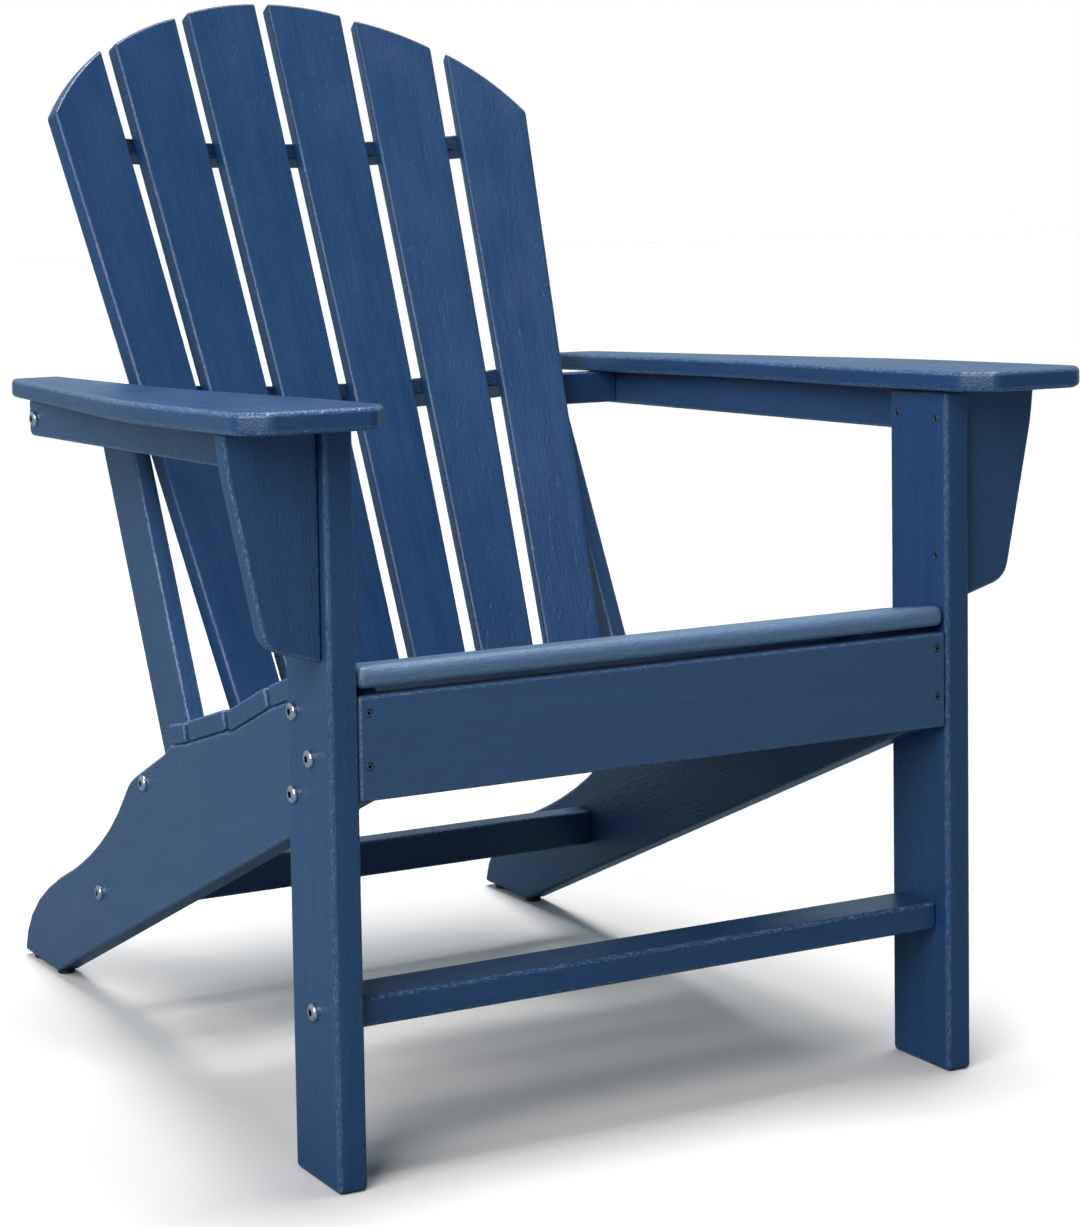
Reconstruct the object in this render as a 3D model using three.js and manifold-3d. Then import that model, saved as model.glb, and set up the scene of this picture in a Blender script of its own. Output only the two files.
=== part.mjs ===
// Adirondack chair of solid plastic lumber, bolted and screwed together. Millimetres, +Z up.
// The sitter faces -Y. Boards are laid out from the front face of the front legs (y = 0) and the
// floor (z = 0); the last lines move the chair so that its origin is under the middle of its box.
import * as THREE from "three";
import { mergeVertices } from "three/addons/utils/BufferGeometryUtils.js";
import Module from "manifold-3d";

const wasm = await Module();
wasm.setup();

// Board stock
const thick = 25; // legs, stringers and stretchers
const thin = 17.5; // slats, rails, arms, apron and brackets
const fit = 0.3; // gap between pieces that touch
const weld = 1e-3; // corners closer than this are one corner
const steps = { corner: 6, arm: 8, rail: 16 }; // straight steps in each curved stretch

// Front legs
const legOuter = 300;
const legInner = legOuter - thick;
const legDepth = 80;
const innerSpan = legInner - fit; // half length of what fits between the legs

// Arms: their underside falls towards the rear
const armUnder = 586.1;
const armSlope = 0.021;
const armFront = -58;
const armOuter = 388;
const armInner = 263;
const armChamfer = { inner: [20, 28], outer: [20, 20] }; // across and along
const armEdge = { outer: [armOuter, 185, 60], inner: [armInner, 110, 90], waist: [281, 330, 110] };
const armTail = { outer: [317, 662, 6], inner: [268, 664, 6] };
const armRound = 6; // rounding of the arm's front corners
const railStart = 27;
const railEnd = 610;
const railRound = 8;
const railBottom = 547.5;
const railTaper = 0.0128;

// Arm brackets, as [x, z, rounding] from the foot on the leg up to the tip under the arm
const bracketFront = 9;
const bracketFoot = 408;
const bracketElbow = [346, 421, 14];
const bracketShoulder = [374, 556, 10];
const bracketTip = 377;

// Seat: each slat is given by the top corners of its section, front then rear, as [y, z]
const seatSlats = [
  { front: [2.5, 404.3], rear: [85, 392] },
  { front: [93, 390], rear: [173, 365] },
  { front: [182, 362], rear: [262, 330] },
  { front: [270, 330], rear: [349, 308] },
  { front: [358, 305], rear: [393, 298] },
];
const apronFront = 1;
const apronBottom = 300;
const apronTop = 381;

// Stringers
const stringerOuter = legInner - fit;
const stringerInner = stringerOuter - thick;
const stringerFront = 18.9;
const footUnder = 4.5;
const footFront = 703;
const footRear = 798;
const underSlope = 0.4275;
// The rear edge from the heel up to the seat: each curve's control points and end, as [y, z]
const stringerCurves = [
  [[790, 52], [735, 84], [651, 117]],
  [[605, 138], [545, 170], [505, 217]],
  [[495, 229], [481, 236]],
];
const stringerShoulder = [406, 270];
const glide = { top: 7.5, foot: 8.5, sides: 16, places: [711, 778] };

// Stretchers, as [lowest, highest]
const frontStretcher = { y: [15, 62], z: [122, 146] };
const rearStretcher = { y: [562, 587], z: [92, 127] };

// Back: three mirrored pairs of tapered slats on a shallow curve, fanning out upwards.
// turn and lean are in degrees; the tops are heights at a slat's inner and outer edge.
const backHeight = 600; // the level at which the fan is laid out
const backMiddle = 608.5;
const backRadius = 720;
const backRise = 0.485; // how far the back leans rearwards for each millimetre of height
const slatHalf = 32.75;
const slatTaper = 0.0176;
const slatFoot = 228;
const crownRadius = 300;
const backPairs = [
  { turn: 3.15, lean: 1.06, inner: 953.6, outer: 942.6 },
  { turn: 9.45, lean: 3.24, inner: 937.5, outer: 908.8 },
  { turn: 15.75, lean: 5.82, inner: 903.2, outer: 841.0 },
];

// Back rails lie square to the slats. hollow is the radius of the curved front edge.
const backRails = [
  { name: "upper_back_rail", top: 810, half: 236, depth: 24, hollow: 1040, lath: true },
  { name: "middle_back_rail", top: 573, half: 217.2, depth: 40, hollow: 820, lath: true },
  { name: "lower_back_rail", top: 244, half: 217.2, depth: 35, hollow: 640, lath: false },
];
const railClearance = 1.3; // clears the flat backs of the slats on the curve

// Back posts, and the ties from them to the arm rails
const postOuter = 235;
const postRise = 0.51;
const postFront = 603.1; // the post's front edge at the height backHeight
const postDepth = 80;
const postFoot = 212;
const postTop = 571;
const postRound = { foot: 10, top: 6 };
const tieFront = 586;
const tieUnder = 541.5;

// Fasteners: bolt heads stand on their face, screw heads are sunk below it. crown and rim shape
// the head, as shares of its radius and rise.
const bolt = { head: 7.2, rise: 3.6, shank: 3, sides: 12, sunk: 0 };
const screw = { head: 3.2, rise: 1.6, shank: 2, sides: 16, sunk: 2.3 };
const headShape = { crown: [0.62, 0.82], rim: 0.25 };
const boltLength = { leg: 44, stretcher: 70, post: 85, tie: 50 };
const screwLength = { bracket: 48, rail: 36, apron: 29 };
const drillOver = 1; // a drill starts this far outside its hole

// Places of the heads, as [y, z] on a side face or [x, z] on the apron
const legBolts = [[66, 363], [36, 331], [68, 298]];
const frontStretcherBolt = [38.5, 133.5];
const rearStretcherBolt = [574.5, 110];
const postBolt = [454, 235];
const tieBolt = [594.7, 556];
const bracketScrews = [[15, 562], [15, 445]];
const railScrew = [69, 563];
const apronScrews = [[266, 368], [266, 327]];
const spacer = { radius: 12, sides: 20 };

const lumber = new THREE.MeshStandardMaterial({ color: 0x24467a, roughness: 0.5, metalness: 0 });
const zinc = new THREE.MeshStandardMaterial({ color: 0xb9bcc0, roughness: 0.35, metalness: 1 });
const glidePlastic = new THREE.MeshStandardMaterial({ color: 0x16171a, roughness: 0.6, metalness: 0 });

// How shape axes lie for a board seen from the side (y, z), from the front (x, z) and from above
const fromSide = new THREE.Matrix4().makeBasis(
  new THREE.Vector3(0, 1, 0), new THREE.Vector3(0, 0, 1), new THREE.Vector3(1, 0, 0));
const fromFront = new THREE.Matrix4().makeBasis(
  new THREE.Vector3(1, 0, 0), new THREE.Vector3(0, 0, 1), new THREE.Vector3(0, -1, 0));

const solids = new Map();

function toSolid(geometry) {
  const bare = geometry.clone();
  bare.deleteAttribute("normal");
  bare.deleteAttribute("uv");
  const merged = mergeVertices(bare, weld);
  return new wasm.Manifold(new wasm.Mesh({
    numProp: 3,
    vertProperties: new Float32Array(merged.attributes.position.array),
    triVerts: new Uint32Array(merged.index.array),
  }));
}

function toGeometry(solid) {
  const mesh = solid.getMesh();
  const geometry = new THREE.BufferGeometry();
  geometry.setAttribute("position", new THREE.BufferAttribute(mesh.vertProperties, 3));
  geometry.setIndex(new THREE.BufferAttribute(mesh.triVerts, 1));
  geometry.computeVertexNormals();
  return geometry;
}

function addPiece(name, geometry, material) {
  solids.set(name, { solid: toSolid(geometry), material });
}

// A closed outline through corners given as [a, b] or [a, b, reach]; a corner with a reach is
// rounded off from that distance before it to that distance after it.
function outlineOf(corners) {
  const shape = new THREE.Shape();
  corners.forEach(([a, b, reach = 0], index) => {
    const corner = new THREE.Vector2(a, b);
    const before = new THREE.Vector2(...corners.at(index - 1));
    const after = new THREE.Vector2(...corners[(index + 1) % corners.length]);
    const start = before.sub(corner).setLength(reach).add(corner);
    const end = after.sub(corner).setLength(reach).add(corner);
    if (index === 0) {
      shape.moveTo(start.x, start.y);
    } else {
      shape.lineTo(start.x, start.y);
    }
    if (reach > 0) {
      shape.quadraticCurveTo(a, b, end.x, end.y);
    }
  });
  shape.closePath();
  return shape;
}

function mirrored(corners, sign) {
  return outlineOf(corners.map(([x, ...rest]) => [x * sign, ...rest]));
}

function cutBoard(shape, thickness, curveSegments = steps.corner) {
  return new THREE.ExtrudeGeometry(shape, { depth: thickness, bevelEnabled: false, curveSegments });
}

// side is +1 for the chair's right as seen from the front, -1 for its left. A board seen from the
// side starts at its face nearest the middle plane on the right, and is mirrored to the left.
function addSideBoard(name, shape, inner, thickness, side) {
  const start = side > 0 ? inner : -inner - thickness;
  const geometry = cutBoard(shape, thickness).applyMatrix4(fromSide).translate(start, 0, 0);
  addPiece(name, geometry, lumber);
}

function addFrontBoard(name, shape, front, thickness) {
  const geometry = cutBoard(shape, thickness).applyMatrix4(fromFront).translate(0, front + thickness, 0);
  addPiece(name, geometry, lumber);
}

function addBlock(name, low, high) {
  const size = high.map((value, axis) => value - low[axis]);
  const middle = high.map((value, axis) => (value + low[axis]) / 2);
  addPiece(name, new THREE.BoxGeometry(...size).translate(...middle), lumber);
}

const sides = [
  { word: "left", sign: -1 },
  { word: "right", sign: 1 },
];

function armUnderside(y) {
  return armUnder - armSlope * y;
}

// Point below a seat slat: along runs from 0 at its front edge to 1 at its rear edge
function underSeat(slat, along, depth) {
  const run = new THREE.Vector2(slat.rear[0] - slat.front[0], slat.rear[1] - slat.front[1]);
  const down = new THREE.Vector2(run.y, -run.x).setLength(depth);
  return [slat.front[0] + run.x * along + down.x, slat.front[1] + run.y * along + down.y];
}

function addLegs() {
  for (const { word, sign } of sides) {
    const shape = outlineOf([
      [0, 0],
      [legDepth, 0],
      [legDepth, armUnderside(legDepth) - fit],
      [0, armUnderside(0) - fit],
    ]);
    addSideBoard(`front_leg_${word}`, shape, legInner, thick, sign);
  }
}

function addArms() {
  const corners = [
    [armInner, armFront + armChamfer.inner[1], armRound],
    [armInner + armChamfer.inner[0], armFront, armRound],
    [armOuter - armChamfer.outer[0], armFront, armRound],
    [armOuter, armFront + armChamfer.outer[1], armRound],
    armEdge.outer,
    armTail.outer,
    armTail.inner,
    armEdge.waist,
    armEdge.inner,
  ];
  for (const { word, sign } of sides) {
    const geometry = cutBoard(mirrored(corners, sign), thin, steps.arm);
    geometry.rotateX(-Math.atan(armSlope)).translate(0, 0, armUnder);
    addPiece(`arm_${word}`, geometry, lumber);
  }
}

function addArmSupports() {
  const railUnder = (y) => railBottom - railTaper * y;
  const railShape = outlineOf([
    [railStart, railUnder(railStart)],
    [railEnd, railUnder(railEnd), railRound],
    [railEnd, armUnderside(railEnd) - fit],
    [railStart, armUnderside(railStart) - fit],
  ]);
  const bracketTop = armUnderside(bracketFront + thin) - fit;
  const start = legOuter + fit;
  for (const { word, sign } of sides) {
    addSideBoard(`arm_rail_${word}`, railShape, start, thin, sign);
    const corners = [
      [start, bracketFoot],
      bracketElbow,
      bracketShoulder,
      [bracketTip, bracketTop],
      [start, bracketTop],
    ];
    addFrontBoard(`arm_bracket_${word}`, mirrored(corners, sign), bracketFront, thin);
  }
}

function addSeat() {
  seatSlats.forEach((slat, index) => {
    const shape = outlineOf([slat.front, slat.rear, underSeat(slat, 1, thin), underSeat(slat, 0, thin)]);
    addSideBoard(`seat_slat_${index + 1}`, shape, -innerSpan, 2 * innerSpan, 1);
  });
  addBlock("front_apron",
    [-innerSpan, apronFront, apronBottom], [innerSpan, apronFront + thin, apronTop]);
}

// The stringer's top edge lies under the seat slats, then runs down to a shoulder and in a long
// S to the rear foot.
function addStringers() {
  const shape = new THREE.Shape();
  const underEdge = footUnder + underSlope * (footFront - stringerFront);
  shape.moveTo(stringerFront, underEdge);
  shape.lineTo(footFront, footUnder);
  shape.lineTo(footRear, footUnder);
  for (const curve of stringerCurves) {
    if (curve.length === 3) {
      shape.bezierCurveTo(...curve.flat());
    } else {
      shape.quadraticCurveTo(...curve.flat());
    }
  }
  shape.lineTo(...stringerShoulder);
  for (const slat of seatSlats.toReversed()) {
    shape.lineTo(...underSeat(slat, 1, thin + fit));
    if (slat !== seatSlats[0]) {
      shape.lineTo(...underSeat(slat, 0, thin + fit));
    }
  }
  const first = seatSlats[0];
  const [y, z] = underSeat(first, 0, thin + fit);
  const fall = (first.rear[1] - first.front[1]) / (first.rear[0] - first.front[0]);
  shape.lineTo(stringerFront, z + fall * (stringerFront - y));
  shape.closePath();
  for (const { word, sign } of sides) {
    addSideBoard(`stringer_${word}`, shape, stringerInner, thick, sign);
    glide.places.forEach((place, index) => {
      const height = footUnder - fit;
      const disc = new THREE.CylinderGeometry(glide.top, glide.foot, height, glide.sides);
      disc.rotateX(Math.PI / 2).translate(sign * (stringerInner + thick / 2), place, height / 2);
      addPiece(`glide_${word}_${index + 1}`, disc, glidePlastic);
    });
  }
}

function addStretchers() {
  const rearSpan = stringerInner - fit;
  addBlock("front_stretcher",
    [-innerSpan, frontStretcher.y[0], frontStretcher.z[0]],
    [innerSpan, frontStretcher.y[1], frontStretcher.z[1]]);
  addBlock("rear_stretcher",
    [-rearSpan, rearStretcher.y[0], rearStretcher.z[0]],
    [rearSpan, rearStretcher.y[1], rearStretcher.z[1]]);
}

// One back slat. Its frame has its long axis up the board, its width axis across it and its
// thickness axis pointing forwards and up; the outline lies on its front face.
function addBackSlat(name, pair, side) {
  const turn = THREE.MathUtils.degToRad(pair.turn);
  const lean = Math.tan(THREE.MathUtils.degToRad(pair.lean));
  const along = new THREE.Vector3(side * lean, backRise, 1).normalize();
  const across = new THREE.Vector3(Math.cos(turn), -side * Math.sin(turn), 0);
  across.addScaledVector(along, -across.dot(along)).normalize();
  const forwards = new THREE.Vector3().crossVectors(across, along);
  const middle = new THREE.Vector3(
    side * backRadius * Math.sin(turn),
    backMiddle - backRadius * (1 - Math.cos(turn)),
    backHeight);
  const half = (reach) => slatHalf + slatTaper * reach;
  // Distance up the board at which an edge, -1 or +1 across, comes to a height
  const reachAt = (edge, height) => (height - backHeight - edge * slatHalf * across.z)
    / (along.z + edge * slatTaper * across.z);
  const heights = side > 0 ? [pair.inner, pair.outer] : [pair.outer, pair.inner];
  const foot = [reachAt(-1, slatFoot), reachAt(1, slatFoot)];
  const top = [reachAt(-1, heights[0]), reachAt(1, heights[1])];
  const topRight = new THREE.Vector2(half(top[1]), top[1]);
  const topLeft = new THREE.Vector2(-half(top[0]), top[0]);
  const chord = topLeft.clone().sub(topRight);
  const bulge = chord.lengthSq() / (4 * crownRadius);
  const crown = topRight.clone().add(topLeft).multiplyScalar(0.5);
  crown.add(new THREE.Vector2(chord.y, -chord.x).setLength(bulge));
  const shape = new THREE.Shape();
  shape.moveTo(-half(foot[0]), foot[0]);
  shape.lineTo(half(foot[1]), foot[1]);
  shape.lineTo(topRight.x, topRight.y);
  shape.quadraticCurveTo(crown.x, crown.y, topLeft.x, topLeft.y);
  shape.closePath();
  const frame = new THREE.Matrix4().makeBasis(across, along, forwards).setPosition(middle);
  addPiece(name, cutBoard(shape, thin).translate(0, 0, -thin).applyMatrix4(frame), lumber);
}

function addBackSlats() {
  const order = [[2, -1], [1, -1], [0, -1], [0, 1], [1, 1], [2, 1]];
  order.forEach(([pair, side], index) => addBackSlat(`back_slat_${index + 1}`, backPairs[pair], side));
}

function addBackRails() {
  const upBack = new THREE.Vector3(0, backRise, 1).normalize();
  const acrossBack = new THREE.Vector3(1, 0, 0);
  const rearwards = new THREE.Vector3(0, upBack.z, -upBack.y);
  const slatBehind = thin / upBack.z; // a slat's thickness, measured level
  for (const rail of backRails) {
    const sweep = Math.asin(rail.half / rail.hollow);
    const shape = new THREE.Shape();
    shape.absarc(0, -rail.hollow, rail.hollow, Math.PI / 2 + sweep, Math.PI / 2 - sweep, true);
    if (rail.lath) {
      const outer = rail.hollow + rail.depth;
      const outerSweep = Math.asin(rail.half / outer);
      shape.absarc(0, -rail.hollow, outer, Math.PI / 2 - outerSweep, Math.PI / 2 + outerSweep, false);
    } else {
      shape.lineTo(rail.half, rail.depth);
      shape.lineTo(-rail.half, rail.depth);
    }
    const place = new THREE.Vector3(0,
      backMiddle + backRise * (rail.top - backHeight) + slatBehind + railClearance, rail.top);
    const frame = new THREE.Matrix4().makeBasis(acrossBack, rearwards, upBack).setPosition(place);
    const board = cutBoard(shape, thin, steps.rail).translate(0, 0, -thin);
    addPiece(rail.name, board.applyMatrix4(frame), lumber);
  }
}

function addBackPosts() {
  const front = (z) => postFront + postRise * (z - backHeight);
  const shape = outlineOf([
    [front(postFoot), postFoot, postRound.foot],
    [front(postFoot) + postDepth, postFoot, postRound.foot],
    [front(postTop) + postDepth, postTop, postRound.top],
    [front(postTop), postTop],
  ]);
  const tieTop = armUnderside(tieFront + thin) - fit;
  for (const { word, sign } of sides) {
    addSideBoard(`back_post_${word}`, shape, postOuter - thin, thin, sign);
    const ends = [sign * (postOuter + fit), sign * legOuter].sort((a, b) => a - b);
    addBlock(`arm_tie_${word}`, [ends[0], tieFront, tieUnder], [ends[1], tieFront + thin, tieTop]);
    const length = stringerInner - postOuter - 2 * fit;
    const tube = new THREE.CylinderGeometry(spacer.radius, spacer.radius, length, spacer.sides);
    tube.rotateZ(Math.PI / 2);
    tube.translate(sign * (postOuter + fit + length / 2), ...postBolt);
    addPiece(`post_spacer_${word}`, tube, lumber);
  }
}

// The frame of a fastener: its origin under the head, its y axis out of the face at place
function fastenerFrame(kind, place, inwards) {
  const into = new THREE.Vector3(...inwards);
  const turn = new THREE.Quaternion().setFromUnitVectors(new THREE.Vector3(0, -1, 0), into);
  const seat = new THREE.Vector3(...place).addScaledVector(into, kind.sunk - fit);
  return new THREE.Matrix4().compose(seat, turn, new THREE.Vector3(1, 1, 1));
}

function cutHole(piece, radius, from, to, kind, frame) {
  const drill = new THREE.CylinderGeometry(radius + fit, radius + fit, to - from, kind.sides);
  drill.translate(0, (from + to) / 2, 0).applyMatrix4(frame);
  const drilled = solids.get(piece);
  drilled.solid = drilled.solid.subtract(toSolid(drill));
}

// Drills the shank's hole in every piece that it enters, and sinks the head into the first
function drillFor(kind, frame, length, through) {
  for (const piece of through) {
    cutHole(piece, kind.shank, -length - fit, drillOver, kind, frame);
  }
  if (kind.sunk > 0) {
    cutHole(through[0], kind.head, -fit, kind.sunk + drillOver, kind, frame);
  }
}

function addFastener(name, kind, place, inwards, length, through) {
  const [crownRadius, crownHeight] = headShape.crown;
  // The lathe's profile runs upwards, so that its faces point out
  const profile = [
    [0, -length],
    [kind.shank, -length],
    [kind.shank, 0],
    [kind.head, 0],
    [kind.head, kind.rise * headShape.rim],
    [kind.head * crownRadius, kind.rise * crownHeight],
    [0, kind.rise],
  ].map(([radius, height]) => new THREE.Vector2(radius, height));
  const frame = fastenerFrame(kind, place, inwards);
  addPiece(name, new THREE.LatheGeometry(profile, kind.sides).applyMatrix4(frame), zinc);
  drillFor(kind, frame, length, through);
}

function addFasteners() {
  for (const { word, sign } of sides) {
    const inwards = [-sign, 0, 0];
    const outwards = [sign, 0, 0];
    const leg = `front_leg_${word}`;
    const stringer = `stringer_${word}`;
    legBolts.forEach((place, index) => {
      addFastener(`leg_bolt_${word}_${index + 1}`, bolt, [sign * legOuter, ...place], inwards,
        boltLength.leg, [leg, stringer]);
    });
    addFastener(`front_stretcher_bolt_${word}`, bolt, [sign * legOuter, ...frontStretcherBolt],
      inwards, boltLength.stretcher, [leg, "front_stretcher"]);
    addFastener(`rear_stretcher_bolt_${word}`, bolt, [sign * stringerOuter, ...rearStretcherBolt],
      inwards, boltLength.stretcher, [stringer, "rear_stretcher"]);
    addFastener(`post_bolt_${word}`, bolt, [sign * stringerOuter, ...postBolt], inwards,
      boltLength.post, [stringer, `post_spacer_${word}`, `back_post_${word}`, "lower_back_rail"]);
    addFastener(`tie_bolt_${word}`, bolt, [sign * (legOuter + fit + thin), ...tieBolt], inwards,
      boltLength.tie, [`arm_rail_${word}`, `arm_tie_${word}`]);
    bracketScrews.forEach((place, index) => {
      addFastener(`bracket_screw_${word}_${index + 1}`, screw, [sign * legInner, ...place],
        outwards, screwLength.bracket, [leg, `arm_bracket_${word}`]);
    });
    // The screw from the leg into the arm rail is left out; its hole is drilled
    const railFrame = fastenerFrame(screw, [sign * legInner, ...railScrew], outwards);
    drillFor(screw, railFrame, screwLength.rail, [leg, `arm_rail_${word}`]);
    apronScrews.forEach(([x, z], index) => {
      addFastener(`apron_screw_${word}_${index + 1}`, screw, [sign * x, apronFront, z],
        [0, 1, 0], screwLength.apron, ["front_apron", stringer]);
    });
  }
}

addLegs();
addArms();
addArmSupports();
addSeat();
addStringers();
addStretchers();
addBackSlats();
addBackRails();
addBackPosts();
addFasteners();

const chair = new THREE.Group();
for (const [name, { solid, material }] of solids) {
  const mesh = new THREE.Mesh(toGeometry(solid), material);
  mesh.name = name;
  chair.add(mesh);
}
const box = new THREE.Box3().setFromObject(chair);
chair.position.set(0, -(box.min.y + box.max.y) / 2, 0);
chair.updateMatrixWorld(true);

export default chair;
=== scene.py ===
import math

import bmesh
import bpy
import numpy as np
from mathutils import Matrix, Vector


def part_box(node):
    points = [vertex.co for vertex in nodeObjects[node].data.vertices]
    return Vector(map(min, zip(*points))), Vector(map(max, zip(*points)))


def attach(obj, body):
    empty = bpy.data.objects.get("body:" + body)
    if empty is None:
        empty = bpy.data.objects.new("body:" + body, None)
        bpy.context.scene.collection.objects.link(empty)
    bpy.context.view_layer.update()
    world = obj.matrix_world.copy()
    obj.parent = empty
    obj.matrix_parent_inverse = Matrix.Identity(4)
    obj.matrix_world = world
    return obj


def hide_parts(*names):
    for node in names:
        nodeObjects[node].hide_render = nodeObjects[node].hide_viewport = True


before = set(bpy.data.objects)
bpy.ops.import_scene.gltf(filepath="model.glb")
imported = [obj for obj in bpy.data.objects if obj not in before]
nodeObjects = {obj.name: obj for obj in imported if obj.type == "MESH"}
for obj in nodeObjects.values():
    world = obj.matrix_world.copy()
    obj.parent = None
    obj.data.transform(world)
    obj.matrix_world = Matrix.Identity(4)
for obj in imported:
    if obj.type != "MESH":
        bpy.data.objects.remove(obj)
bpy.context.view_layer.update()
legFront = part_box("front_leg_left")[0].y  # the front face of the front legs
print("frame loaded:", len(nodeObjects), "nodes")

# where the viewer stands, in metres from the middle of the legs' front, and how they look
cameraSetup = {
    "place": (-1.1830, -1.9215, 0.7624),
    "yaw": 29.06,
    "pitch": 4.63,
    "roll": -0.887,
    "lens": 83.59,
    "sensor": 36,
    "shift": -0.16,
    "reach": 200,
}


def addCamera():
    # turn about the vertical, then tip down, then roll about the line of sight
    turn = Matrix.Rotation(math.radians(-cameraSetup["yaw"]), 4, "Z")
    tip = Matrix.Rotation(math.radians(90 - cameraSetup["pitch"]), 4, "X")
    roll = Matrix.Rotation(math.radians(cameraSetup["roll"]), 4, "Z")
    x, y, z = cameraSetup["place"]
    data = bpy.data.cameras.new("camera")
    data.lens = cameraSetup["lens"]
    data.sensor_width = cameraSetup["sensor"]
    data.shift_y = cameraSetup["shift"]
    data.clip_end = cameraSetup["reach"]
    camera = bpy.data.objects.new("camera", data)
    camera.matrix_world = Matrix.Translation((x, y + legFront, z)) @ turn @ tip @ roll
    bpy.context.scene.collection.objects.link(camera)
    bpy.context.scene.camera = camera


lumberLook = {
    "deep": (0.0098, 0.0435, 0.122, 1),
    "light": (0.0150, 0.0600, 0.160, 1),
    # pale: the lighter navy that boards go towards for their painted light
    "pale": (0.100, 0.170, 0.280, 1),
    # the pale colour of the painted highlight on rounded edges
    "highlighted": (0.150, 0.235, 0.360, 1),
    "roughness": (0.27, 0.42),
    "bumpStrength": 0.6,
    "bumpHeight": 0.0006,
    "cloudShare": 0.5,  # how far the soft clouds go towards the light navy
    "highlightShare": 0.75,  # how far a rounded edge goes towards the colour of its painted highlight
    "dentDepth": 0.7,
    "apart": 4,  # how far, in metres, each board's grain may be moved from the others'
}
grainNoises = {  # lumps per metre along, across and through a board, then the layers of detail
    "broad": ((3.0, 70.0, 70.0), 3.0),
    "fine": ((22.0, 520.0, 520.0), 3.0),
    "pores": ((260.0, 820.0, 820.0), 2.0),
    "dents": ((70.0, 170.0, 170.0), 1.0),
    "cloud": ((9.0, 14.0, 14.0), 2.0),
}
grainSpans = {  # the noise values between which each effect goes from none to full
    "colour": (0.6, 1.1),
    # the spots of painted highlight on the rounded edges
    "highlightSpeckle": (0.44, 0.66),
    "gloss": (0.55, 1.05),
    "dents": (0.28, 0.40),
}
grainShares = {  # how much of one noise is added to another, by the effect and the noise added
    "colourFine": 0.7,
    "glossFine": 0.6,
    "heightBroad": 0.4,
    "heightPores": 0.9,
    "heightDents": 0.8,
}
noiseRoughness = 0.6
noiseSpan = (0.3, 0.7)  # most of a noise lies between these
boardLightAndTone = {  # painted light: how far a board's colour goes from the common navy towards the pale one, standing in for the light each board catches, most on the front seat slat and the apron; partly a tone of the board's own
    "front_apron": 0.26,
    "seat_slat_1": 0.92,
    "seat_slat": 0.10,
    "stringer": 0.12,
    "arm_rail": 0.11,
    "back_post": 0.10,
    "arm_bracket": 0.08,
    "arm_": 0.04,
    "back_slat": 0.0,
}
plainLightAndTone = 0.03
toneChance = (-0.02, 0.03)  # the least and the most that chance adds to a board's share, as a random tone of its own
edgeHighlights = {"back_slat": 0.2, "front_leg": 0.6}  # how strong the painted highlight on the rounded edges is
plainHighlight = 1.0
zincLook = {
    "colours": ((0.74, 0.75, 0.76, 1), (0.46, 0.47, 0.49, 1)),
    "roughness": (0.16, 0.34),
    "metallic": 1,
    "lumps": 420,
    "relief": 0.0001,
}
screwLook = {
    "colours": ((0.30, 0.31, 0.33, 1), (0.12, 0.125, 0.135, 1)),
    "roughness": (0.22, 0.42),
    "metallic": 1,
    "lumps": 420,
    "relief": 0.0001,
}
glideLook = {
    "colours": ((0.012, 0.012, 0.013, 1), (0.03, 0.03, 0.032, 1)),
    "roughness": (0.5, 0.7),
    "metallic": 0,
    "lumps": 500,
    "relief": 0.0002,
}
mottleDetail = 3.0
mottleStrength = 0.3
# painted shade: the near-black of the inside of a tool socket
socketPaintedShade = (0.012, 0.013, 0.016, 1)


def addNode(tree, kind, links=None, **values):
    # a shader node; values name its settings or sockets, links name the sockets that feed it
    node = tree.nodes.new(kind)
    for key, value in values.items():
        if hasattr(node, key):
            setattr(node, key, value)
        else:
            node.inputs[key.replace("_", " ")].default_value = value
    for key, source in (links or {}).items():
        tree.links.new(source, node.inputs[key])
    return node


def newMaterial(name):
    material = bpy.data.materials.new(name)
    material.use_nodes = True
    tree = material.node_tree
    return material, tree, tree.nodes["Principled BSDF"]


def streaks(tree, place, scale, detail):
    # a noise with its own scale, in lumps per metre, along each of three directions
    mapping = addNode(tree, "ShaderNodeMapping", {"Vector": place}, Scale=scale)
    noise = addNode(tree, "ShaderNodeTexNoise", {"Vector": mapping.outputs["Vector"]},
                    Scale=1.0, Detail=detail, Roughness=noiseRoughness)
    return noise.outputs["Fac"]


def remap(tree, value, low, high, span=noiseSpan):
    # goes from low to high as the value goes from one end of the span to the other
    node = addNode(tree, "ShaderNodeMapRange", {"Value": value})
    node.inputs["From Min"].default_value = span[0]
    node.inputs["From Max"].default_value = span[1]
    node.inputs["To Min"].default_value = low
    node.inputs["To Max"].default_value = high
    return node.outputs["Result"]


def addValues(tree, first, second, share):
    # first + second * share
    node = addNode(tree, "ShaderNodeMath", {0: second, 2: first}, operation="MULTIPLY_ADD")
    node.inputs[1].default_value = share
    return node.outputs[0]


def mixColours(tree, factor, first, second):
    # each colour is a tuple or another node's output; a Mix node takes colours in sockets 6 and 7
    node = addNode(tree, "ShaderNodeMix", data_type="RGBA")
    tree.links.new(factor, node.inputs[0])
    for socket, colour in ((node.inputs[6], first), (node.inputs[7], second)):
        if isinstance(colour, tuple):
            socket.default_value = colour
        else:
            tree.links.new(colour, socket)
    return node.outputs[2]


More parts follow.
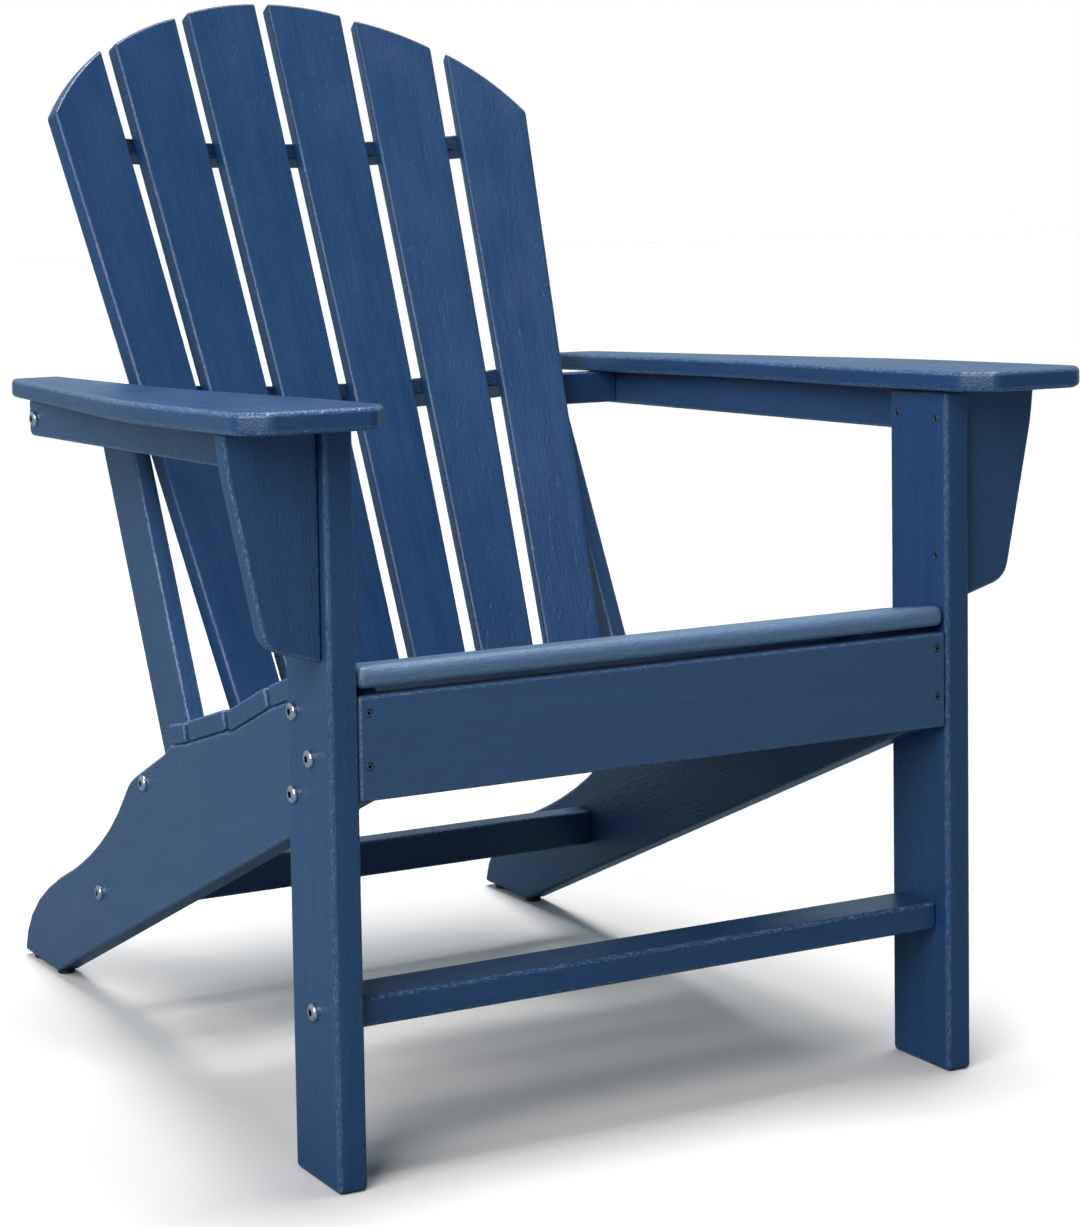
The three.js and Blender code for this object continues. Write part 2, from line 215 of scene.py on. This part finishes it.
def makeLumber():
    # navy plastic lumber with a brushed, embossed wood grain that follows each board, with painted
    # light on some boards and a painted highlight on the rounded edges
    material, tree, surface = newMaterial("navy_lumber")
    place = addNode(tree, "ShaderNodeAttribute", attribute_name="grainPlace").outputs["Vector"]
    broad = streaks(tree, place, *grainNoises["broad"])
    fine = streaks(tree, place, *grainNoises["fine"])
    pores = streaks(tree, place, *grainNoises["pores"])
    dents = streaks(tree, place, *grainNoises["dents"])
    cloud = streaks(tree, place, *grainNoises["cloud"])
    # colour: the grain, then soft clouds, then each board's painted light with its random tone, then
    # the painted highlight on the rounded edges
    grain = addValues(tree, broad, fine, grainShares["colourFine"])
    lightness = remap(tree, grain, 0.0, 1.0, grainSpans["colour"])
    colour = mixColours(tree, lightness, lumberLook["deep"], lumberLook["light"])
    clouds = remap(tree, cloud, 0.0, lumberLook["cloudShare"])
    colour = mixColours(tree, clouds, colour, lumberLook["light"])
    # painted light: each board goes towards the pale navy by its share, which also holds a random
    # tone
    shade = addNode(tree, "ShaderNodeAttribute", attribute_name="paintedLightAndTone").outputs["Fac"]
    colour = mixColours(tree, shade, colour, lumberLook["pale"])
    # painted highlight on the rounded edges, broken into spots by the pores
    highlight = addNode(tree, "ShaderNodeAttribute", attribute_name="edgeHighlight").outputs["Fac"]
    highlightSpeckle = remap(tree, pores, 0.0, lumberLook["highlightShare"], grainSpans["highlightSpeckle"])
    highlighted = addNode(tree, "ShaderNodeMath", {0: highlight, 1: highlightSpeckle}, operation="MULTIPLY")
    colour = mixColours(tree, highlighted.outputs[0], colour, lumberLook["highlighted"])
    tree.links.new(colour, surface.inputs["Base Color"])
    gloss = addValues(tree, cloud, fine, grainShares["glossFine"])
    roughness = remap(tree, gloss, *lumberLook["roughness"], grainSpans["gloss"])
    tree.links.new(roughness, surface.inputs["Roughness"])
    # relief: fine brushed lines, short pores, and a few small dents
    pits = remap(tree, dents, -lumberLook["dentDepth"], 0.0, grainSpans["dents"])
    height = addValues(tree, fine, broad, grainShares["heightBroad"])
    height = addValues(tree, height, pores, grainShares["heightPores"])
    height = addValues(tree, height, pits, grainShares["heightDents"])
    bump = addNode(tree, "ShaderNodeBump", {"Height": height},
                   Strength=lumberLook["bumpStrength"], Distance=lumberLook["bumpHeight"])
    tree.links.new(bump.outputs["Normal"], surface.inputs["Normal"])
    return material


def makeMottled(name, look):
    # a plain finish: soft mottling in colour and gloss, a faint texture, and painted shade in the
    # tool sockets
    material, tree, surface = newMaterial(name)
    place = addNode(tree, "ShaderNodeTexCoord").outputs["Object"]
    mottle = streaks(tree, place, (look["lumps"],) * 3, mottleDetail)
    colour = mixColours(tree, remap(tree, mottle, 0.0, 1.0), *look["colours"])
    # painted shade in the tool sockets
    socket = addNode(tree, "ShaderNodeAttribute", attribute_name="socket").outputs["Fac"]
    tree.links.new(mixColours(tree, socket, colour, socketPaintedShade), surface.inputs["Base Color"])
    tree.links.new(remap(tree, mottle, *look["roughness"]), surface.inputs["Roughness"])
    surface.inputs["Metallic"].default_value = look["metallic"]
    bump = addNode(tree, "ShaderNodeBump", {"Height": mottle},
                   Strength=mottleStrength, Distance=look["relief"])
    tree.links.new(bump.outputs["Normal"], surface.inputs["Normal"])
    return material


boardEdges = {  # radius of the rounded edges, by the start of a board's name
    "front_leg": 0.0045,
    "stringer": 0.004,
    "front_stretcher": 0.004,
    "rear_stretcher": 0.003,
    "seat_slat_1": 0.0075,
    "arm_rail": 0.0028,
    "arm_bracket": 0.0032,
    "arm_tie": 0.002,
    "arm": 0.0045,
    "back_slat": 0.0032,
}
plainEdge = 0.003
edgeSteps = 4
angles = {"flat": 0.4, "sharp": 35}  # degrees: below flat, faces merge; above sharp, edges show
faceWeight = 90  # how strongly the large faces rule the shading at the rounded edges
mergeReach = 1e-5
holeReach = 0.0042  # a little more than the radius of any hole
# the screw from a leg into its arm rail: how far it is behind the leg's front face, its height
# above the floor, how deep its head is sunk, and its own length and turn
railScrewLook = {"back": 0.069, "height": 0.563, "sunk": 0.002, "length": 0.034, "spin": 0.4}


def turnedNodes(*words):
    return sorted(name for name in nodeObjects if any(word in name for word in words))


def lookUp(table, name, otherwise):
    # the value of the first entry that the board's name starts with
    for start, value in table.items():
        if name.startswith(start):
            return value
    return otherwise


def grainAxes(points):
    # the board's length, width and thickness directions: the principal axes of its corners
    centred = points - points.mean(axis=0)
    axes = np.linalg.svd(centred, full_matrices=False)[2]
    signs = np.sign(axes[np.arange(3), np.abs(axes).argmax(axis=1)])
    return axes * signs[:, None]


def railScrewSeat(side):
    # the bottom of the sunk hole in the leg's inner face; side is -1 on the left, 1 on the right
    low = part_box("front_leg_right")[0]
    across = side * (low.x + railScrewLook["sunk"])
    return np.array((across, low.y + railScrewLook["back"], railScrewLook["height"]))


def nearHoles(points):
    # marks the points that lie closer than a hole's reach to the axis of a bolt or screw
    near = np.zeros(len(points), bool)
    for name in turnedNodes("bolt", "screw"):
        low, high = (np.array(corner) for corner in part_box(name))
        along = int(np.argmax(high - low))
        away = points - (low + high) / 2
        away[:, along] = 0
        near |= np.linalg.norm(away, axis=1) < holeReach
    for side in (-1, 1):
        away = points - railScrewSeat(side)
        away[:, 0] = 0
        near |= np.linalg.norm(away, axis=1) < holeReach
    return near


def roundedBoard(name):
    # the node's mesh with its outer edges rounded, and how much painted highlight each point gets
    # from lying in a rounded edge
    mesh = bmesh.new()
    mesh.from_mesh(nodeObjects[name].data)
    bmesh.ops.remove_doubles(mesh, verts=mesh.verts, dist=mergeReach)
    bmesh.ops.dissolve_limit(mesh, angle_limit=math.radians(angles["flat"]),
                             verts=mesh.verts, edges=mesh.edges)
    mesh.verts.index_update()
    corners = np.array([v.co for v in mesh.verts])
    inHole = nearHoles(corners)
    sharp = []
    for edge in mesh.edges:
        drilled = inHole[edge.verts[0].index] and inHole[edge.verts[1].index]
        if not drilled and edge.calc_face_angle_signed(0) > math.radians(angles["sharp"]):
            sharp.append(edge)
    made = bmesh.ops.bevel(mesh, geom=sharp, offset=lookUp(boardEdges, name, plainEdge),
                           offset_type="OFFSET", segments=edgeSteps, profile=0.5,
                           affect="EDGES", clamp_overlap=False)
    rounded = set(made["faces"])
    for face in mesh.faces:
        face.smooth = True
    # painted highlight: full on the points that lie wholly in rounded edges
    highlight = np.array([float(all(f in rounded for f in v.link_faces)) for v in mesh.verts], np.float32)
    data = bpy.data.meshes.new(name + "_look")
    mesh.to_mesh(data)
    mesh.free()
    return data, grainAxes(corners), highlight * np.float32(lookUp(edgeHighlights, name, plainHighlight))


def addNumbers(data, name, numbers):
    data.attributes.new(name, "FLOAT", "POINT").data.foreach_set("value", numbers)


def makeBoard(name, material, seed):
    data, axes, highlight = roundedBoard(name)
    points = np.empty(len(data.vertices) * 3)
    data.vertices.foreach_get("co", points)
    # grain place: the point turned to the board's own axes, then moved to a spot of its own
    chance = np.random.default_rng(seed)
    spot = chance.uniform(-lumberLook["apart"], lumberLook["apart"], 3)
    place = points.reshape(-1, 3) @ axes.T + spot
    grain = data.attributes.new("grainPlace", "FLOAT_VECTOR", "POINT")
    grain.data.foreach_set("vector", place.astype(np.float32).ravel())
    addNumbers(data, "edgeHighlight", highlight)
    # the board's share of painted light, plus a random tone
    shade = lookUp(boardLightAndTone, name, plainLightAndTone) + chance.uniform(*toneChance)
    addNumbers(data, "paintedLightAndTone", np.full(len(data.vertices), shade, np.float32))
    data.materials.append(material)
    board = bpy.data.objects.new(name + "_board", data)
    bpy.context.scene.collection.objects.link(board)
    shading = board.modifiers.new("shading", "WEIGHTED_NORMAL")
    shading.weight = faceWeight
    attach(board, "root")
    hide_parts(name)


# radii in metres; rise is how high the head stands, and depth is how deep the socket goes
boltShape = {"head": 0.0072, "rise": 0.0036, "shank": 0.003, "socket": 0.0027, "depth": 0.0030}
screwShape = {"head": 0.0032, "rise": 0.0016, "shank": 0.002, "socket": 0.0013, "depth": 0.0013}
# lip is in socket radii, and brim, crown and chamfer are in shares of the rise
domeShape = {"rings": 7, "lip": 1.3, "brim": 0.22, "crown": 0.78, "span": 0.985, "chamfer": 0.94}
glideProfile = {  # in shares of the glide's radius and height, from its top down
    "radii": (0, 0.86, 0.93, 0.95, 1.0, 1.0, 0.97, 0.9, 0),
    "heights": (1, 1, 0.94, 0.8, 0.35, 0.15, 0.04, 0, 0),
}
turnedSteps = 48
fastenerSeed = 7


def turnedSurface(radii, heights, hexShare):
    # rings about the z axis: a point is (r cos a, r sin a, h). Where hexShare is 1 the ring is a
    # hexagon, r / cos(a folded into one sixth of a turn); a first or last radius of 0 is a pole.
    angle = np.linspace(0, 2 * np.pi, turnedSteps, endpoint=False)
    sixth = np.pi / 3
    folded = (angle + sixth / 2) % sixth - sixth / 2
    flats = 1 / np.cos(folded)
    reach = radii[:, None] * (1 + hexShare[:, None] * (flats[None, :] - 1))
    points = np.stack([reach * np.cos(angle), reach * np.sin(angle),
                       np.repeat(heights[:, None], turnedSteps, axis=1)], axis=-1)
    inner = points[1:-1].reshape(-1, 3)
    rows = len(radii) - 2
    row, column = np.meshgrid(np.arange(rows - 1), np.arange(turnedSteps), indexing="ij")
    after = (column + 1) % turnedSteps
    upper, lower = row * turnedSteps, (row + 1) * turnedSteps
    quads = np.stack([upper + column, lower + column, lower + after, upper + after], axis=-1)
    quads = quads.reshape(-1, 4)
    turn = np.arange(turnedSteps)
    following = (turn + 1) % turnedSteps
    first, last = len(inner), len(inner) + 1
    lastRow = (rows - 1) * turnedSteps
    topFan = np.stack([np.full(turnedSteps, first), turn, following], axis=-1)
    footFan = np.stack([np.full(turnedSteps, last), lastRow + following, lastRow + turn], axis=-1)
    vertices = np.vstack([inner, points[0, 0], points[-1, 0]])
    return vertices, quads.tolist() + topFan.tolist() + footFan.tolist()


def fastenerSurface(shape, length):
    # from the middle of the socket, over the domed head, down the shank to its tip. The dome is
    # an ellipse: height = rise * (brim + crown * sqrt(1 - (span * t) squared)), t from 0 to 1
    # outwards. The last value is the numbers of the points on the socket's floor.
    dome = np.linspace(0, 1, domeShape["rings"])
    lip = shape["socket"] * domeShape["lip"]
    domeRadii = lip + (shape["head"] - lip) * dome
    arch = np.sqrt(1 - (domeShape["span"] * dome) ** 2)
    domeHeights = shape["rise"] * (domeShape["brim"] + domeShape["crown"] * arch)
    floor = shape["rise"] - shape["depth"]
    radii = np.concatenate([[0, shape["socket"], shape["socket"]], domeRadii,
                            [shape["head"], shape["shank"], shape["shank"], 0]])
    heights = np.concatenate([[floor, floor, shape["rise"] * domeShape["chamfer"]], domeHeights,
                              [0, 0, -length, -length]])
    hexShare = np.zeros(len(radii))
    hexShare[1:3] = 1
    vertices, faces = turnedSurface(radii, heights, hexShare)
    return vertices, faces, list(range(turnedSteps)) + [len(vertices) - 2]


def makeTurned(name, vertices, faces, material, replaced=None, socketPoints=()):
    # socketPoints are the numbers of the points inside a tool socket, which get painted shade
    data = bpy.data.meshes.new(name)
    data.from_pydata(vertices.tolist(), [], faces)
    mesh = bmesh.new()
    mesh.from_mesh(data)
    bmesh.ops.recalc_face_normals(mesh, faces=mesh.faces)
    for edge in mesh.edges:
        edge.smooth = edge.calc_face_angle(0) < math.radians(angles["sharp"])
    for face in mesh.faces:
        face.smooth = True
    mesh.to_mesh(data)
    mesh.free()
    inSocket = np.zeros(len(vertices), np.float32)
    inSocket[list(socketPoints)] = 1
    addNumbers(data, "socket", inSocket)
    data.materials.append(material)
    piece = bpy.data.objects.new(name, data)
    bpy.context.scene.collection.objects.link(piece)
    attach(piece, "root")
    if replaced:
        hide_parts(replaced)


def placeAlong(vertices, outwards, seat, spin):
    # turns the z axis to the outwards direction, after a spin about it, and moves to the seat
    turn = Vector((0, 0, 1)).rotation_difference(Vector(outwards)).to_matrix()
    turn = np.array(turn @ Matrix.Rotation(spin, 3, "Z"))
    return vertices @ turn.T + np.array(seat)


def headDirection(name, middle, along):
    # which way a fastener's head looks: apron screws to the front, bracket screws to the middle
    # of the chair, and all the others away from it
    outwards = np.zeros(3)
    if along == 1:
        outwards[along] = -1
    else:
        inside = "bracket_screw" in name
        outwards[along] = -np.sign(middle[along]) if inside else np.sign(middle[along])
    return outwards


def makeFasteners(zinc, screwMetal):
    chance = np.random.default_rng(fastenerSeed)
    for name in turnedNodes("bolt", "screw"):
        low, high = (np.array(corner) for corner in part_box(name))
        shape, material = (boltShape, zinc) if "bolt" in name else (screwShape, screwMetal)
        seat = (low + high) / 2
        along = int(np.argmax(high - low))
        outwards = headDirection(name, seat, along)
        headEnd = high[along] if outwards[along] > 0 else low[along]
        seat[along] = headEnd - outwards[along] * shape["rise"]
        vertices, faces, socket = fastenerSurface(shape, (high - low)[along] - shape["rise"])
        vertices = placeAlong(vertices, outwards, seat, chance.uniform(0, np.pi))
        makeTurned(name + "_metal", vertices, faces, material, name, socket)


def makeRailScrews(material):
    # one screw from each leg's inner face into its arm rail
    for word, side in (("left", -1), ("right", 1)):
        vertices, faces, socket = fastenerSurface(screwShape, railScrewLook["length"])
        vertices = placeAlong(vertices, (-side, 0, 0), railScrewSeat(side), railScrewLook["spin"])
        makeTurned("rail_screw_" + word, vertices, faces, material, None, socket)


def makeGlides(material):
    for name in turnedNodes("glide"):
        low, high = (np.array(corner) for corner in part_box(name))
        radius, height = (high - low)[0] / 2, (high - low)[2]
        radii = np.array(glideProfile["radii"]) * radius
        heights = np.array(glideProfile["heights"]) * height
        vertices, faces = turnedSurface(radii, heights, np.zeros(len(radii)))
        middle = (low + high) / 2
        vertices = vertices + np.array([middle[0], middle[1], low[2]])
        makeTurned(name + "_plastic", vertices, faces, material, name)


stageLook = {
    "floor": (0.80, 0.765, 0.75, 1),  # the colour it shows
    "shade": (0.16, 0.22, 0.25, 1),  # the colour of the light it throws back
    "roughness": 0.9,
    "reach": 30.0,
    "tiles": 8,
}
# the studio's walls: dark before the chair, pale behind it, with a cool tint; edges are where
# the dark ends and the pale begins, as the y of a direction
wallLook = {"front": 0.10, "back": 0.50, "tint": (0.76, 1.0, 1.12, 1), "edges": (-0.35, 0.55)}
# the overhead light: softness and tilt in degrees, the tilt along y and along x
topLook = {"strength": 3.3, "softness": 26, "tilt": (-5, -6), "place": (0, 0, 3)}
fillLook = {"power": 190, "size": 3.0, "place": (-3.3, -2.2, 2.7), "aim": (0, 0, 0.4)}


def makeStage():
    # a square of floor: x and y run over a grid, z stays 0
    reach, tiles = stageLook["reach"], stageLook["tiles"]
    along = np.linspace(-reach, reach, tiles + 1)
    x, y = np.meshgrid(along, along, indexing="ij")
    points = np.stack([x, y, np.zeros_like(x)], axis=-1).reshape(-1, 3)
    row, column = np.meshgrid(np.arange(tiles), np.arange(tiles), indexing="ij")
    start = row * (tiles + 1) + column
    after = start + tiles + 1
    quads = np.stack([start, after, after + 1, start + 1], axis=-1).reshape(-1, 4)
    data = bpy.data.meshes.new("floor")
    data.from_pydata(points.tolist(), [], quads.tolist())
    material, tree, surface = newMaterial("pale_floor")
    # pale to the eye, but it throws little light back up under the chair
    seen = addNode(tree, "ShaderNodeLightPath").outputs["Is Camera Ray"]
    colour = mixColours(tree, seen, stageLook["shade"], stageLook["floor"])
    tree.links.new(colour, surface.inputs["Base Color"])
    surface.inputs["Roughness"].default_value = stageLook["roughness"]
    surface.inputs["Specular IOR Level"].default_value = 0
    data.materials.append(material)
    floor = bpy.data.objects.new("floor", data)
    bpy.context.scene.collection.objects.link(floor)


def addLight(name, kind, energy, place, direction):
    light = bpy.data.lights.new(name, kind)
    light.energy = energy
    holder = bpy.data.objects.new(name, light)
    holder.location = place
    holder.rotation_euler = direction.to_track_quat("-Z", "Y").to_euler()
    holder.visible_camera = False
    bpy.context.scene.collection.objects.link(holder)
    return light


def addLights():
    world = bpy.data.worlds.new("studio")
    bpy.context.scene.world = world
    world.use_nodes = True
    tree = world.node_tree
    # the camera sees white walls; what they throw on the chair grows with the direction's y
    direction = addNode(tree, "ShaderNodeTexCoord").outputs["Generated"]
    depth = addNode(tree, "ShaderNodeSeparateXYZ", {"Vector": direction}).outputs["Y"]
    glow = remap(tree, depth, wallLook["front"], wallLook["back"], wallLook["edges"])
    seen = addNode(tree, "ShaderNodeLightPath").outputs["Is Camera Ray"]
    strength = addNode(tree, "ShaderNodeMix", data_type="FLOAT")
    tree.links.new(seen, strength.inputs[0])
    tree.links.new(glow, strength.inputs[2])
    strength.inputs[3].default_value = 1.0
    background = tree.nodes["Background"]
    tree.links.new(mixColours(tree, seen, wallLook["tint"], (1, 1, 1, 1)), background.inputs["Color"])
    tree.links.new(strength.outputs[0], background.inputs["Strength"])
    tiltY, tiltX = (math.tan(math.radians(angle)) for angle in topLook["tilt"])
    downwards = Vector((tiltX, tiltY, -1))
    sun = addLight("top_light", "SUN", topLook["strength"], topLook["place"], downwards)
    sun.angle = math.radians(topLook["softness"])
    place = Vector(fillLook["place"])
    fill = addLight("fill_light", "AREA", fillLook["power"], place, Vector(fillLook["aim"]) - place)
    fill.size = fillLook["size"]
    bpy.context.scene.view_settings.view_transform = "Standard"


addCamera()
makeStage()
addLights()
print("camera, floor and lights are in place")

lumber = makeLumber()
zinc = makeMottled("zinc_fasteners", zincLook)
screwMetal = makeMottled("screw_steel", screwLook)
black = makeMottled("glide_plastic", glideLook)
boardNames = sorted(set(nodeObjects) - set(turnedNodes("bolt", "screw", "glide")))
for number, boardName in enumerate(boardNames):
    makeBoard(boardName, lumber, number)
print("boards made:", len(boardNames))

makeFasteners(zinc, screwMetal)
makeRailScrews(screwMetal)
makeGlides(black)
print("fasteners and glides made")
